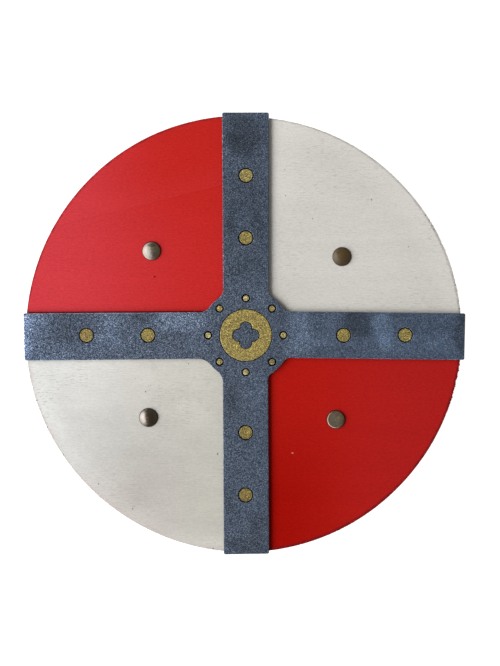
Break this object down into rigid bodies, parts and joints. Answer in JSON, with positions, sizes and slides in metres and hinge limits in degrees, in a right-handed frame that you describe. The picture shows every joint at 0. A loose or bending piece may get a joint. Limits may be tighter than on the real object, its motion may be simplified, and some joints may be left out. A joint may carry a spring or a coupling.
{
  "type": "wooden round shield",
  "caption": "Small round wooden shield, painted in red and white quarters, with a blue-grey cross, gold inlays, domed rivets and leather straps on its back.",
  "frame": {"origin": "on the floor under the middle of the cross's span, with the shield lying on its straps, face up", "axes": "+Z out of the painted face, +Y towards the shield's top, +X towards its right as seen from the front"},
  "size_m": [0.385, 0.385, 0.0333],
  "materials": {
    "painted_plywood": "thin matt paint in red and white quarters over plywood, bare on the back and the rim",
    "gunmetal_sheet": "stiff fibreboard sheet sprayed in speckled gunmetal blue",
    "gold_sheet": "stiff fibreboard sheet sprayed in fine-grained gold",
    "aged_brass": "aged, turned, slightly brushed",
    "brown_leather": "plain vegetable-tanned leather"
  },
  "bodies": {
    "root": {"board": "painted_plywood", "cross": "gunmetal_sheet", "medallion": "gold_sheet", "medallion_motif": "gunmetal_sheet", "arm_stud_right_inner": "gold_sheet", "arm_stud_right_outer": "gold_sheet", "arm_stud_top_inner": "gold_sheet", "arm_stud_top_outer": "gold_sheet", "arm_stud_left_inner": "gold_sheet", "arm_stud_left_outer": "gold_sheet", "arm_stud_bottom_inner": "gold_sheet", "arm_stud_bottom_outer": "gold_sheet", "ring_stud_1": "gold_sheet", "ring_stud_2": "gold_sheet", "ring_stud_3": "gold_sheet", "ring_stud_4": "gold_sheet", "ring_stud_5": "gold_sheet", "ring_stud_6": "gold_sheet", "ring_stud_7": "gold_sheet", "ring_stud_8": "gold_sheet", "rivet_upper_left": "aged_brass", "rivet_upper_right": "aged_brass", "rivet_lower_left": "aged_brass", "rivet_lower_right": "aged_brass", "strap_left": "brown_leather", "strap_right": "brown_leather"}
  },
  "joints": []
}
